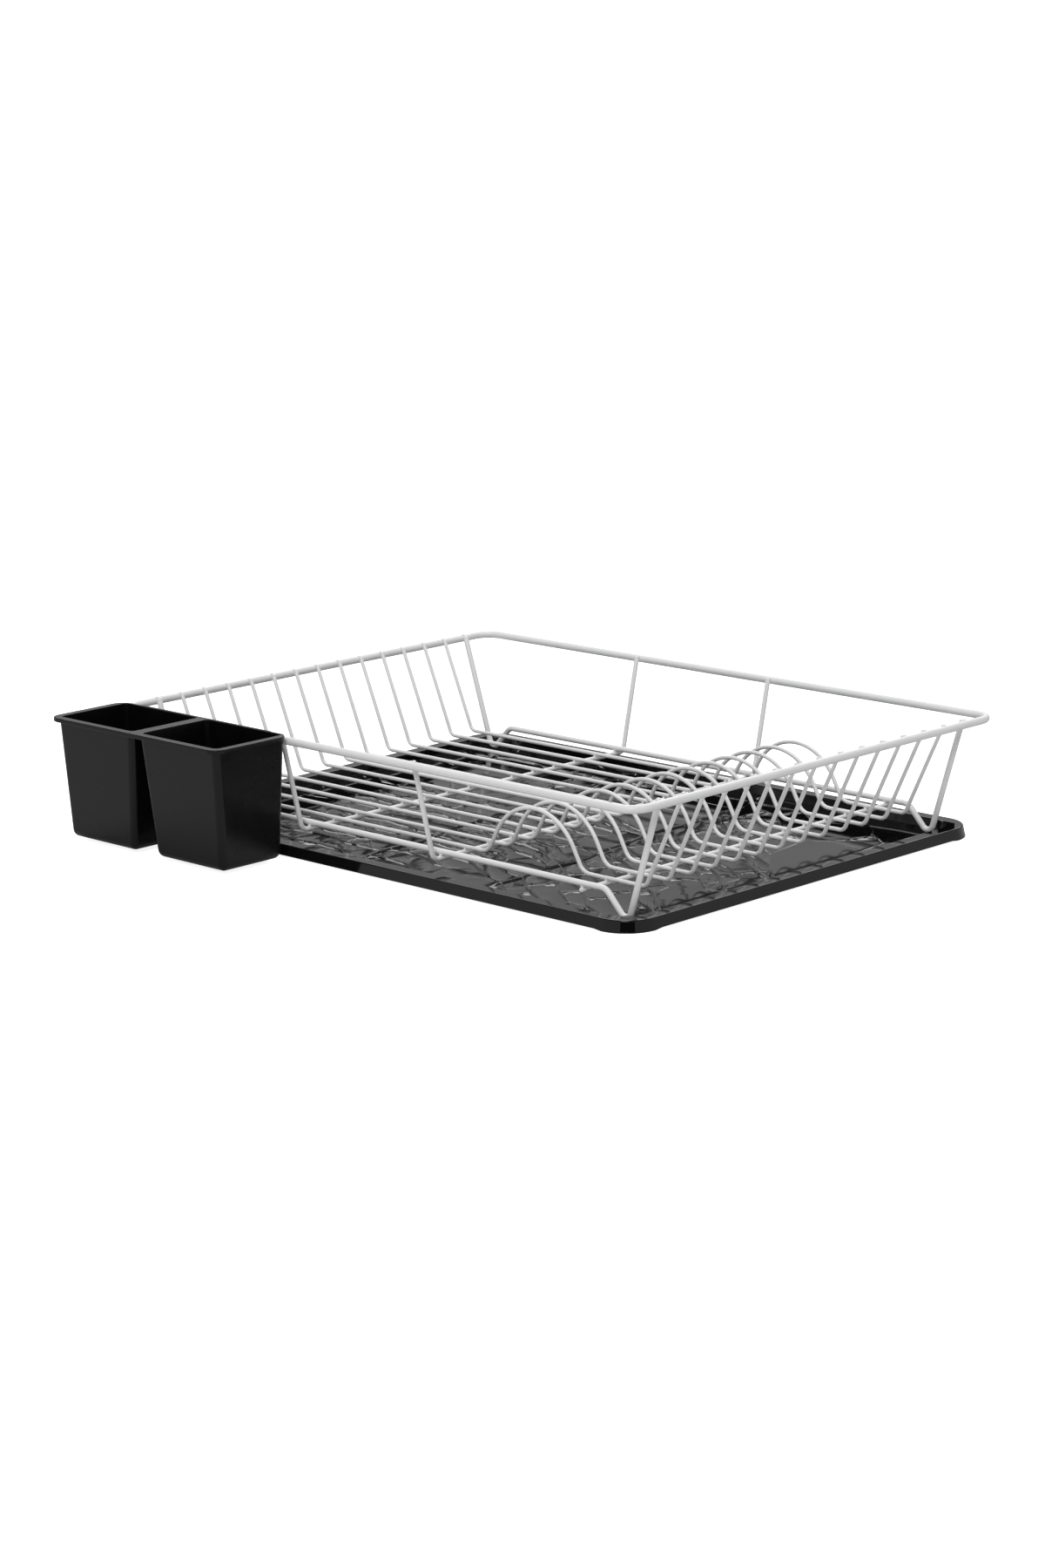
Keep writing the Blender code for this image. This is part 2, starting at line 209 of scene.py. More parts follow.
world = bpy.data.worlds.new("studio_dome")
world.use_nodes = True
dome = world.node_tree.nodes["Background"]
towards = add_node(world.node_tree, "ShaderNodeTexCoord").outputs["Generated"]
upwards = add_node(world.node_tree, "ShaderNodeSeparateXYZ", Vector=towards).outputs["Z"]
fade = add_node(world.node_tree, "ShaderNodeMapRange", Value=upwards, From_Min=DOME_FADE[0],
                From_Max=DOME_FADE[1], To_Min=DOME_LOW, To_Max=DOME_HIGH)
world.node_tree.links.new(fade.outputs["Result"], dome.inputs["Strength"])
dome.inputs["Color"].default_value = linear("#FFFFFF")
bpy.context.scene.world = world
bpy.context.scene.view_settings.view_transform = "Standard"
white_paper = plain_material("matt_white_paper", "#F4F4F4", FLOOR_GLOW)
grey_paper = plain_material("matt_grey_paper", "#C8C8C8")
add_floor("white_floor_paper", WHITE_DEPTH, white_paper, ["camera"])
add_floor("grey_floor_paper", GREY_DEPTH, grey_paper, ["diffuse", "glossy"])
add_light("front_sun", "SUN", FRONT_SUN, FRONT_POWER, angle=FRONT_WIDTH)
add_light("back_sun", "SUN", BACK_SUN, BACK_POWER, angle=BACK_WIDTH)
add_light("overhead_softbox", "AREA", SOFTBOX, SOFTBOX_POWER, matt_only=True, shape="RECTANGLE",
          size=SOFTBOX_SIZE, size_y=SOFTBOX_SIZE)
print("the dome fades from", DOME_LOW, "at the horizon to", DOME_HIGH, "overhead")

# %% [markdown]
# The low cards stand on the inner edge of the tray's flange, unseen by the camera, and paint a dark
# reflection into the tray's floor. Their height decides how far that painted dark border reaches over
# the floor. The tall card, beyond the camera, keeps the front of the holder and of the tray's skirt
# dark.

# %% Black cards
CARD_TOP = 0.0195
CARD_FROM_EDGE = 0.0125
FLAG_DISTANCE, FLAG_HALF, FLAG_TOP = 3.4, 1.3, 0.72

black_card = plain_material("black_card", "#050505")
low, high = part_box("drip_tray")
x, y, z = low.x + CARD_FROM_EDGE, high.y - CARD_FROM_EDGE, high.z
path = [(x, -y), (x, y), (-x, y)]
# painted reflection: cards on the tray's flange, met only by glossy rays, darken the floor's far border
add_sheet("low_cards_painted_reflection", [(*spot, z) for spot in path] + [(*spot, CARD_TOP) for spot in path],
          [(0, 1, 4, 3), (1, 2, 5, 4)], black_card, ["glossy"])
aside = Vector((math.cos(CAMERA_AZIMUTH), math.sin(CAMERA_AZIMUTH), 0)) * FLAG_HALF
away = Vector((math.sin(CAMERA_AZIMUTH), -math.cos(CAMERA_AZIMUTH), 0)) * FLAG_DISTANCE
rise = Vector((0, 0, FLAG_TOP))
add_sheet("tall_black_card", [away - aside, away + aside, away + aside + rise, away - aside + rise],
          [(0, 1, 2, 3)], black_card, ["glossy"])
print("low cards reach", round(1000 * (CARD_TOP - z), 1), "mm above the tray")

# %% [markdown]
# ## A wire's centre line
# The CAD wires are bent tubes of eight flat sides, each in one flat plane. The row of corners along
# one side of such a tube runs exactly beside its centre line, so the line can be read from the frame
# itself, without repeating any of the CAD's sizes.

# %% Read a centre line
SAME_PLACE = 1e-5


def corner_row(node, axis):
    """The CAD corners on the +axis side of a flat wire, in order, moved in to its centre line."""
    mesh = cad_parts[node].data
    low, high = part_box(node)
    near = {}
    for edge in mesh.edges:
        ends = [mesh.vertices[i].co for i in edge.vertices]
        if all(high[axis] - end[axis] < SAME_PLACE for end in ends):
            a, b = (tuple(round(c, 5) for c in end) for end in ends)
            if a != b:
                near.setdefault(a, set()).add(b)
                near.setdefault(b, set()).add(a)
    start = min(near, key=lambda point: (len(near[point]), point))
    row = [start]
    while True:
        onward = sorted(near[row[-1]] - set(row))
        if not onward:
            break
        row.append(onward[0])
    points = [Vector(point) for point in row]
    for point in points:
        point[axis] = (low[axis] + high[axis]) / 2
    return points, len(near[start]) == 2


print("the rim has", len(corner_row("rim_ring", 2)[0]), "corners")

# %% [markdown]
# Between the corners of a bend a smooth curve is drawn, as the real wire has no corners. Its direction
# at each corner comes from the two stretches that meet there, except at the ends of a bend, where the
# wire leaves along the straight. A Bezier curve through the corners with these directions does it.

# %% Smooth a centre line
WIRE_AXES = {"plate": 1, "leg": 1, "cross_wire": 0, "rim": 2}
BEND_STEPS = 5
MID_BEND = 0.75


def headings_of(points, closed):
    """The wire's direction at each point of its centre line."""
    count = len(points)
    steps = [(points[(i + 1) % count] - points[i]).normalized() for i in range(count)]
    if not closed:
        steps[-1] = steps[-2]
    before = [steps[i - 1] if closed or i else steps[0] for i in range(count)]
    turns = [before[i].angle(steps[i]) for i in range(count)]
    headings = []
    for i in range(count):
        turn_before, turn_after = turns[i - 1], turns[(i + 1) % count]
        if turns[i] > MID_BEND * max(turn_before, turn_after):
            headings.append((before[i] + steps[i]).normalized())
        else:
            headings.append(before[i] if turn_before < turn_after else steps[i])
    return headings


def smooth_line(points, closed):
    """Points and directions along a smooth curve through the corners, close together in the bends."""
    headings = headings_of(points, closed)
    line = []
    pairs = list(zip(points, headings))
    following = pairs[1:] + pairs[:1] if closed else pairs[1:]
    for (a, heading_a), (b, heading_b) in zip(pairs, following):
        reach = (b - a).length / 3
        steps = BEND_STEPS if heading_a.angle(heading_b) > math.radians(1) else 1
        handles = (a, a + heading_a * reach, b - heading_b * reach, b)
        for i in range(steps):
            t = i / steps
            weights = ((1 - t) ** 3, 3 * t * (1 - t) ** 2, 3 * t * t * (1 - t), t ** 3)
            slopes = (-3 * (1 - t) ** 2, 3 * (1 - t) * (1 - 3 * t), 3 * t * (2 - 3 * t), 3 * t * t)
            place = sum((h * w for h, w in zip(handles, weights)), Vector())
            slope = sum((h * w for h, w in zip(handles, slopes)), Vector())
            line.append((place, slope.normalized()))
    if not closed:
        line.append((points[-1], headings[-1]))
    return line


wires = {}
for node in sorted(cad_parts):
    for kind, axis in WIRE_AXES.items():
        if node.startswith(kind):
            corners, closed = corner_row(node, axis)
            low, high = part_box(node)
            wires[node] = {"line": smooth_line(corners, closed), "closed": closed, "axis": axis,
                           "radius": (high[axis] - low[axis]) / 2}
low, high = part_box("cross_bar_right")
middle = (low + high) / 2
wires["cross_bar_right"] = {
    "line": [(Vector((middle.x, y, middle.z)), Vector((0, 1, 0))) for y in (low.y, high.y)],
    "closed": False, "axis": 0, "radius": (high.x - low.x) / 2}
print(len(wires), "wires;", "rim", round(2000 * wires["rim_ring"]["radius"], 2), "mm thick")

# %% [markdown]
# ## Coated steel wire
# Cold drawn steel wire is cut, bent and spot welded, and then the whole basket is dipped or dusted
# with white plastic and cured in an oven. The plastic flows: it is thick and smooth, slightly
# rippled like orange peel, rounds off the cut ends and fills the corners at the welds. It hides the
# metal completely, so the finish is a plastic one: no metallic value, an index of about 1.5, and
# a satin roughness. Handling leaves it a little duller in places, which a second, larger noise gives.

# %% Coated wire material
COAT_RIPPLE_MM = 2.2
COAT_CLOUD_MM = 38.0


def coated_wire():
    """White plastic coating, with clouds of dullness and a fine ripple."""
    material = bpy.data.materials.new("white_dip_coated_steel_wire")
    material.use_nodes = True
    tree = material.node_tree
    shader = tree.nodes["Principled BSDF"]
    place = add_node(tree, "ShaderNodeTexCoord").outputs["Object"]
    cloud = add_node(tree, "ShaderNodeTexNoise", Vector=place, Scale=1000 / COAT_CLOUD_MM, Detail=3.0)
    tint = add_node(tree, "ShaderNodeMix", {"data_type": "RGBA"}, _0=cloud.outputs["Fac"],
                    _6=linear("#EFEFEF"), _7=linear("#E6E6E7"))
    dull = add_node(tree, "ShaderNodeMapRange", Value=cloud.outputs["Fac"], From_Min=0.3, From_Max=0.7,
                    To_Min=0.30, To_Max=0.44)
    ripple = add_node(tree, "ShaderNodeTexNoise", Vector=place, Scale=1000 / COAT_RIPPLE_MM, Detail=2.0)
    bump = add_node(tree, "ShaderNodeBump", Height=ripple.outputs["Fac"], Strength=0.25,
                    Distance=0.00012)
    tree.links.new(tint.outputs[2], shader.inputs["Base Color"])
    tree.links.new(dull.outputs["Result"], shader.inputs["Roughness"])
    tree.links.new(bump.outputs["Normal"], shader.inputs["Normal"])
    shader.inputs["IOR"].default_value = 1.5
    return material


wire_finish = coated_wire()
print("made", wire_finish.name)

# %% [markdown]
# ## Round wires
# A wire is a tube swept along its centre line. As every wire here lies in one plane, each ring of
# the tube stands on that plane's own axis, and the tube can't twist. The cut ends are drawn as low
# domes, as the molten coating leaves them, and are a hair shorter than the CAD's square ends.

# %% Tubes
DOME_STEPS = 4
DOME_HEIGHT = 0.6
DOME_TIP = 0.05
END_TRIM = 0.0006


def ring_of(mesh, centre, radius, across, beside, sides):
    """A round ring of points in the plane of two directions."""
    turns = [2 * math.pi * i / sides for i in range(sides)]
    return [mesh.verts.new(centre + radius * (math.cos(a) * across + math.sin(a) * beside))
            for a in turns]


def bridge(mesh, rings, closed=False):
    """Faces between neighbouring rings of equal length."""
    following = rings[1:] + rings[:1] if closed else rings[1:]
    for lower, upper in zip(rings, following):
        for i in range(len(lower)):
            j = (i + 1) % len(lower)
            mesh.faces.new((lower[i], lower[j], upper[j], upper[i]))


def sweep(mesh, wire, sides):
    """One wire as a tube, with domes on its two ends unless it is a closed ring."""
    across = Vector((0, 0, 0))
    across[wire["axis"]] = 1
    radius = wire["radius"]
    stations = [(place, heading, radius) for place, heading in wire["line"]]
    if not wire["closed"]:
        dome = []
        for i in range(DOME_STEPS):
            lift = math.pi / 2 * (1 - i / DOME_STEPS)
            dome.append((radius * DOME_HEIGHT * (1 - math.sin(lift)),
                         radius * max(math.cos(lift), DOME_TIP)))
        (first, start, _), (last, end, _) = stations[0], stations[-1]
        first, last = first + start * END_TRIM, last - end * END_TRIM
        edge = radius * DOME_HEIGHT
        stations[0] = (first + start * edge, start, radius)
        stations[-1] = (last - end * edge, end, radius)
        head = [(first + start * depth, start, size) for depth, size in dome]
        tail = [(last - end * depth, end, size) for depth, size in reversed(dome)]
        stations = head + stations + tail
    rings = [ring_of(mesh, place, size, across, heading.cross(across), sides)
             for place, heading, size in stations]
    bridge(mesh, rings, wire["closed"])
    if not wire["closed"]:
        mesh.faces.new(reversed(rings[0]))
        mesh.faces.new(rings[-1])


print("a wire's end is a dome of", DOME_HEIGHT, "of its radius")

# %% [markdown]
# Every piece is finished in the same way: smooth shading with sharp edges kept where two faces meet at
# a steep angle, one material, the body it moves with, and the CAD nodes it stands for. The wires have
# enough sides for a round outline in a close view.

# %% Sweep the wires
WIRE_SIDES = 20
RIM_SIDES = 32


def add_piece(name, mesh, material, body, replaced=(), sharp=35):
    """Turn a bmesh into a smooth piece that rides on a body and stands for its CAD nodes."""
    bmesh.ops.recalc_face_normals(mesh, faces=mesh.faces)
    data = bpy.data.meshes.new(name)
    mesh.to_mesh(data)
    mesh.free()
    data.shade_smooth()
    data.set_sharp_from_angle(angle=math.radians(sharp))
    data.materials.append(material)
    piece = bpy.data.objects.new(name, data)
    bpy.context.scene.collection.objects.link(piece)
    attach(piece, body)
    if replaced:
        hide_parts(*replaced)
    return piece


for node, wire in wires.items():
    tube = bmesh.new()
    sweep(tube, wire, RIM_SIDES if node == "rim_ring" else WIRE_SIDES)
    add_piece(f"coated_{node}", tube, wire_finish, "rack", [node], sharp=60)
print("swept", len(wires), "wires")

# %% [markdown]
# ## Weld beads
# Each joint of two wires is a spot weld, pressed together while hot. The coating then draws into the
# narrow gap round the joint and sets as a small saddle that joins both wires. The saddle here is
# lofted from the surface of one wire to the surface of the other: its first rings still lie on the
# one wire and its last rings on the other, so it leaves both without a visible edge. Each one has
# its own size, within about a tenth, as no two welds are alike.

# %% A weld bead
BEAD_SIDES = 20
BEAD_RINGS = 9
BEAD_WAIST = 0.26
BEAD_SPREAD = 1.2
BEAD_GRIP = 0.86
BEAD_BITE = 0.00004
BEAD_SIZES = (0.9, 1.12)
bead_luck = random.Random(7)


def add_bead(mesh, centre_a, axis_a, radius_a, centre_b, axis_b, radius_b, spread_b=BEAD_SPREAD):
    """A saddle of coating between two wires that cross: a runs along axis_a, b along axis_b."""
    normal = (centre_a - centre_b).normalized()
    size = bead_luck.uniform(*BEAD_SIZES)
    along_a, over_a = BEAD_SPREAD * radius_b * size, BEAD_GRIP * radius_a
    over_b, along_b = BEAD_GRIP * radius_b, spread_b * radius_a * size
    rings = []
    for k in range(BEAD_RINGS):
        t = k / (BEAD_RINGS - 1)
        waist = 1 - BEAD_WAIST * math.sin(math.pi * t)
        half_u = (over_b + (along_a - over_b) * t) * waist
        half_v = along_b + (over_a - along_b) * t
        climb = t * t * (3 - 2 * t)
        ring = []
        for i in range(BEAD_SIDES):
            angle = 2 * math.pi * i / BEAD_SIDES
            u, v = half_u * math.cos(angle), half_v * math.sin(angle)
            on_b = math.sqrt(max(radius_b ** 2 - u * u, 0)) - BEAD_BITE
            on_a = math.sqrt(max(radius_a ** 2 - v * v, 0)) - BEAD_BITE
            low = centre_b + normal * on_b
            high = centre_a - normal * on_a
            base = low.lerp(high, climb)
            ring.append(mesh.verts.new(base + axis_a * u + axis_b * v))
        rings.append(ring)
    bridge(mesh, rings)
    mesh.faces.new(reversed(rings[0]))
    mesh.faces.new(rings[-1])


print("a bead has", BEAD_SIDES * BEAD_RINGS, "points")

# %% [markdown]
# Each plate wire and leg wire is welded on top of the three cross pieces, and every upright is welded
# to the inside of the rim. At the rim the saddle has to be shorter, as the uprights end just above it.

# %% Beads at every weld
RIM_BEAD_SPREAD = 0.8
WELD_GAP = 0.0003


def end_of(wire, side):
    """Where a wire's upright passes the rim's height, and its direction, at its low or high end."""
    line = wire["line"]
    place, heading = line[0] if side == 0 else line[-1]
    height = wires["rim_ring"]["line"][0][0].z
    return place + heading * ((height - place.z) / heading.z), heading


plates = sorted(node for node in wires if node.startswith("plate"))
legs = ["leg_wire_front", "leg_wire_back"]
crosses = ["cross_wire_left", "cross_wire_middle", "cross_bar_right"]
beads = bmesh.new()
east, north = Vector((1, 0, 0)), Vector((0, 1, 0))
cross_z = (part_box("cross_bar_right")[0].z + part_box("cross_bar_right")[1].z) / 2
for node in plates + legs:
    wire = wires[node]
    y = wire["line"][0][0].y
    run_z = cross_z + wire["radius"] + wires["cross_bar_right"]["radius"] + WELD_GAP
    for cross in crosses:
        x = wires[cross]["line"][0][0].x
        add_bead(beads, Vector((x, y, run_z)), east, wire["radius"],
                 Vector((x, y, cross_z)), north, wires[cross]["radius"])
rim = wires["rim_ring"]
rim_low, rim_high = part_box("rim_ring")
rim_x, rim_y = rim_high.x - rim["radius"], rim_high.y - rim["radius"]
rim_z = rim_high.z - rim["radius"]
for node in plates + legs + crosses[:2]:
    wire = wires[node]
    for side in (0, 1):
        place, heading = end_of(wire, side)
        if wire["axis"] == 1:
            on_rim, run = Vector((math.copysign(rim_x, place.x), place.y, rim_z)), north
        else:
            on_rim, run = Vector((place.x, math.copysign(rim_y, place.y), rim_z)), east
        foot = place + heading * (on_rim - place).dot(heading)
        add_bead(beads, on_rim, run, rim["radius"], foot, heading, wire["radius"], RIM_BEAD_SPREAD)
bead_count = len(beads.faces) // (BEAD_SIDES * (BEAD_RINGS - 1) + 2)
add_piece("coated_weld_beads", beads, wire_finish, "rack", sharp=80)
print(bead_count, "weld beads")

# %% [markdown]
# ## Glossy black moulding
# The tray is injection moulded in black polystyrene from a polished mould. Nearly all one sees of
# it is reflection, so the colour hardly matters and the roughness does: a low one with faint clouds
# where cloths have dulled it. A moulded panel is never quite flat, so a very long and shallow wave
# bends the reflections slightly. Its index is 1.59 in the tables; it is matched to the object here.

# %% Tray material
POLISH_CLOUD_MM = 60.0
PANEL_WAVE_MM = 90.0
RUB_LENGTH_MM = 14.0


def glossy_black_moulding():
    """Polished black plastic, with rubbed places and a slow wave over each flat."""
    material = bpy.data.materials.new("black_polystyrene_polished_moulding")
    material.use_nodes = True
    tree = material.node_tree
    shader = tree.nodes["Principled BSDF"]
    place = add_node(tree, "ShaderNodeTexCoord").outputs["Object"]
    cloud = add_node(tree, "ShaderNodeTexNoise", Vector=place, Scale=1000 / POLISH_CLOUD_MM, Detail=4.0)
    rub = add_node(tree, "ShaderNodeTexNoise", Vector=place, Scale=1000 / RUB_LENGTH_MM, Detail=6.0,
                   Roughness=0.7)
    both = add_node(tree, "ShaderNodeMath", {"operation": "MULTIPLY"}, _0=cloud.outputs["Fac"],
                    _1=rub.outputs["Fac"])
    dull = add_node(tree, "ShaderNodeMapRange", Value=both.outputs["Value"], From_Min=0.12,
                    From_Max=0.42, To_Min=0.035, To_Max=0.09)
    tint = add_node(tree, "ShaderNodeMix", {"data_type": "RGBA"}, _0=cloud.outputs["Fac"],
                    _6=linear("#0B0A0B"), _7=linear("#121112"))
    wave = add_node(tree, "ShaderNodeTexNoise", Vector=place, Scale=1000 / PANEL_WAVE_MM, Detail=1.0)
    bump = add_node(tree, "ShaderNodeBump", Height=wave.outputs["Fac"], Strength=0.3, Distance=0.0006)
    tree.links.new(tint.outputs[2], shader.inputs["Base Color"])
    tree.links.new(dull.outputs["Result"], shader.inputs["Roughness"])
    tree.links.new(bump.outputs["Normal"], shader.inputs["Normal"])
    shader.inputs["IOR"].default_value = 1.5
    return material


tray_finish = glossy_black_moulding()
print("made", tray_finish.name)

# %% [markdown]
# ## The relief on the tray's floor
# Low ribs run over the floor like the veins of a leaf: a few main veins cross the tray, and from each
# of them side veins run off lengthwise, bend towards the front corner, and are joined by short ticks
# into cells. They break up the water film. Each rib is under 4 mm wide, so a height map would need
# millions of points. Instead a rib is drawn as a line with a half width and a height, and its edges
# become edges of the floor's own mesh, which keeps every rib sharp. From here on, sizes are in
# millimetres. First come the rules: where the floor is, and how the veins lean.

# %% Rules for the veins
VEIN_LEAN, VEIN_SWAY, VEIN_TREMOR = 0.1, (2.6, 23), (1.4, 9.5)
SIDE_ANGLE, SIDE_TURN, TURN_FROM, TURN_RUN = 3, 33, -60, 190
BORDER = 4.0
FOOT_CLEAR, FOOT_FROM_END = 8.0, 11.1
tray_low, tray_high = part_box("drip_tray")
FLANGE_MM, SLOPE_MM, FLARE_MM = 10.0, 1.5, 1.6
rim_run = FLANGE_MM + SLOPE_MM + FLARE_MM
floor_half = Vector((tray_high.x, tray_high.y)) * 1000 - Vector((1, 1)) * rim_run
FLOOR_CORNER = 17.5
leg_low, leg_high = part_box("leg_wire_back")
foot_spot = Vector((floor_half.x - FOOT_FROM_END, (leg_low.y + leg_high.y) * 500))


def inside_floor(x, y, border):
    """True for a place on the floor that is a border's width from its edge and clear of the feet."""
    if math.hypot(abs(x) - foot_spot.x, abs(y) - foot_spot.y) < FOOT_CLEAR:
        return False
    dx = max(abs(x) - (floor_half.x - FLOOR_CORNER), 0)
    dy = max(abs(y) - (floor_half.y - FLOOR_CORNER), 0)
    if dx and dy:
        return math.hypot(dx, dy) < FLOOR_CORNER - border
    return max(dx, dy) < FLOOR_CORNER - border


def vein_x(start, y):
    """A main vein leans and sways a little as it crosses the tray."""
    (sway, sway_length), (tremor, tremor_length) = VEIN_SWAY, VEIN_TREMOR
    return (start - VEIN_LEAN * y + sway * math.sin(y / sway_length + start)
            + tremor * math.sin(y / tremor_length + 2 * start))


def side_slope(x):
    """Direction of the side veins: lengthwise on the left, bending to the front on the right."""
    share = min(max((x - TURN_FROM) / TURN_RUN, 0), 1)
    return -math.radians(SIDE_ANGLE + SIDE_TURN * share * share * (3 - 2 * share))


def trim(points):
    """The longest stretch of a line that lies on the floor."""
    best, run = [], []
    for point in points:
        if inside_floor(point[0], point[1], BORDER):
            run.append(point)
            best = run if len(run) > len(best) else best
        else:
            run = []
    return best


print("the tray's floor is", round(2 * floor_half.x), "by", round(2 * floor_half.y), "mm")

# %% [markdown]
# A main vein is drawn point by point across the tray. The side veins of the field on its right start
# on it at uneven distances, and walk on in small steps until they meet the next main vein or end on
# their own. Fields at the far left and the back have fewer of them. The random numbers come from a
# fixed seed, so the pattern is the same each time.

# %% Draw the veins
VEIN_COUNT, VEIN_SPACING, FIRST_VEIN = 3, 124.0, 48.0
SIDE_VEIN_SPACING = (13.0, 22.0)
SIDE_WAVE, SIDE_TREMOR = (0.16, 11), (0.07, 4.3)
SPARSE_FROM, SPARSE_FROM_LAST, SPARSER = 45.0, 105.0, 2.2
START_BELOW, START_ABOVE, RUN_PAST_END = 30, 90, 40
WHOLE_SHARE, PART_LENGTH = 0.62, (0.45, 0.9)
MAIN_RIB, SIDE_RIB, TICK_RIB = (1.7, 1.0), (1.4, 0.95), (1.35, 0.9)
FEWEST_POINTS = 3
VEIN_STEP = 4.0
vein_luck = random.Random(11)

starts = [-floor_half.x + FIRST_VEIN + VEIN_SPACING * i for i in range(VEIN_COUNT)]
ribs = []
for start in starts:
    ys = np.arange(-floor_half.y, floor_half.y + VEIN_STEP, VEIN_STEP)
    ribs.append((trim([(vein_x(start, y), y) for y in ys]), *MAIN_RIB))
for i, start in enumerate([starts[0] - VEIN_SPACING] + starts):
    last_field = i == VEIN_COUNT
    end = floor_half.x + RUN_PAST_END if last_field else starts[i]
    y = -floor_half.y - START_BELOW
    while y < floor_half.y + START_ABOVE:
        sparse = i == 0 or y > (SPARSE_FROM_LAST if last_field else SPARSE_FROM)
        y += vein_luck.uniform(*SIDE_VEIN_SPACING) * (SPARSER if sparse else 1)
        sway = vein_luck.uniform(0, 6)
        whole = vein_luck.random() < WHOLE_SHARE
        reach = (end - start) * (1.0 if whole else vein_luck.uniform(*PART_LENGTH))
        x, py, line = vein_x(start, y), y, []
        walked = 0.0
        while x < vein_x(end, py) and walked < reach:
            line.append((x, py))
            heading = (side_slope(x) + SIDE_WAVE[0] * math.sin(walked / SIDE_WAVE[1] + sway)
                       + SIDE_TREMOR[0] * math.sin(walked / SIDE_TREMOR[1]))
            x += VEIN_STEP * math.cos(heading)
            py += VEIN_STEP * math.sin(heading)
            walked += VEIN_STEP
        line = trim(line)
        if len(line) > FEWEST_POINTS:
            ribs.append((line, *SIDE_RIB))
side_veins = ribs[len(starts):]
print(len(starts), "main veins and", len(side_veins), "side veins")

# %% [markdown]
# The ticks start on a side vein and go straight across to the next one. To know where the next one
# is, the tick feels its way in small steps until it comes close to any line but its own.

# %% Add the ticks
TICK_SPACING = (20.0, 46.0)
TICK_STEP = 2.5
TICK_LONGEST = 26.0
TICK_STOPS, TICK_TURN = 2.6, 0.35
CELLS_RIGHT, CELLS_LEFT = 0.8, 0.15
OWN_POINT = 0.01
every_point = np.array([point for line, _, _ in ribs for point in line])
ticks = []
for line, _, _ in side_veins:
    own = np.array(line)
    apart = np.hypot(every_point[:, None, 0] - own[None, :, 0],
                     every_point[:, None, 1] - own[None, :, 1])
    others = every_point[np.min(apart, axis=1) > OWN_POINT]
    since = 0.0
    gap = vein_luck.uniform(*TICK_SPACING)
    for a, b in zip(line, line[1:]):
        since += math.dist(a, b)
        cells_wanted = CELLS_RIGHT if a[0] > starts[-1] else CELLS_LEFT
        if since < gap:
            continue
        since, gap = 0.0, vein_luck.uniform(*TICK_SPACING)
        if vein_luck.random() > cells_wanted:
            continue
        heading = math.atan2(b[1] - a[1], b[0] - a[0]) - math.pi / 2
        heading += vein_luck.uniform(-TICK_TURN, TICK_TURN)
        tick = [a]
        while len(tick) * TICK_STEP < TICK_LONGEST:
            last = tick[-1]
            step = (last[0] + TICK_STEP * math.cos(heading), last[1] + TICK_STEP * math.sin(heading))
            if not inside_floor(*step, BORDER):
                break
            tick.append(step)
            if len(tick) > FEWEST_POINTS and np.min(np.hypot(*(others - step).T)) < TICK_STOPS:
                break
        if len(tick) > FEWEST_POINTS:
            ticks.append((tick, *TICK_RIB))
ribs += ticks
print(len(ticks), "ticks, with", len(ribs), "ribs in all")

# %% [markdown]
# ## The floor's mesh
# Each rib gives four parallel lines: its two feet and the two edges of its narrow top. The height of
# any point of the floor follows from its distance to the nearest ribs: full height on a rib's top,
# then down its side. A rib narrows and sinks towards its ends.

# %% Rib outlines and heights
WALL_RUN = 0.8
FADE_POINTS = 3
RIB_REACH, BOX_MARGIN = 6, 2
ON_TOP, LEAST_RISE = 0.02, 0.03


def rib_lines(line, half):
    """The offset lines of one rib, and its half width at each point: it narrows at its ends."""
    count = len(line)
    halves = [half * min(1, 0.5 + 0.5 * min(i, count - 1 - i) / FADE_POINTS) for i in range(count)]
    rows = []
    for inset in (0, WALL_RUN):
        for side in (-1, 1):
            row = []
            for i, (x, y) in enumerate(line):
                a, b = line[max(i - 1, 0)], line[min(i + 1, count - 1)]
                length = math.dist(a, b)
                offset = side * (halves[i] - inset)
                row.append((x - offset * (b[1] - a[1]) / length, y + offset * (b[0] - a[0]) / length))
            rows.append(row)
    return rows, halves


def heights_at(spots):
    """How high the relief is at each place: the highest of all the ribs that reach it."""
    highest = np.zeros(len(spots))
    for line, half, height in ribs:
        points = np.array(line)
        halves = rib_lines(line, half)[1]
        low, high = points.min(0) - BOX_MARGIN, points.max(0) + BOX_MARGIN
        near = np.where(((spots >= low) & (spots <= high)).all(1))[0]
        if not len(near):
            continue
        here = spots[near]
        for a, b, half_a, half_b in zip(points, points[1:], halves, halves[1:]):
            close = np.abs(here - (a + b) / 2).max(1) < RIB_REACH
            if not close.any():
                continue
            chord = b - a
            t = np.clip((here[close] - a) @ chord / (chord @ chord), 0, 1)
            distance = np.hypot(*(here[close] - a - t[:, None] * chord).T)
            width = half_a + (half_b - half_a) * t
            value = height * np.clip((width - distance) / WALL_RUN + ON_TOP, 0, 1)
            value *= np.clip(width / half, 0, 1)
            rows = near[close]
            highest[rows] = np.maximum(highest[rows], np.where(value > LEAST_RISE, value, 0))
    return highest


print("a side vein is", 2 * SIDE_RIB[0], "mm wide at its foot")

# %% [markdown]
# The floor ends in a rectangle with round corners, and every ring of the tray's walls is the same
# figure, larger or smaller. Two more points beside each corner mark where the corner pads end.

# %% The tray's outline
TRAY_CORNER_STEPS = 12
PAD_RUN = 6.0


def rounded_rectangle(half_x, half_y, radius, steps):
    """Points of a rectangle with round corners, counter-clockwise."""
    ring = []
    for quarter in range(4):
        side_x = 1 if quarter in (0, 3) else -1
        side_y = 1 if quarter in (0, 1) else -1
        for i in range(steps + 1):
            angle = (quarter + i / steps) * math.pi / 2
            ring.append((side_x * (half_x - radius) + radius * math.cos(angle),
                         side_y * (half_y - radius) + radius * math.sin(angle)))
    return ring


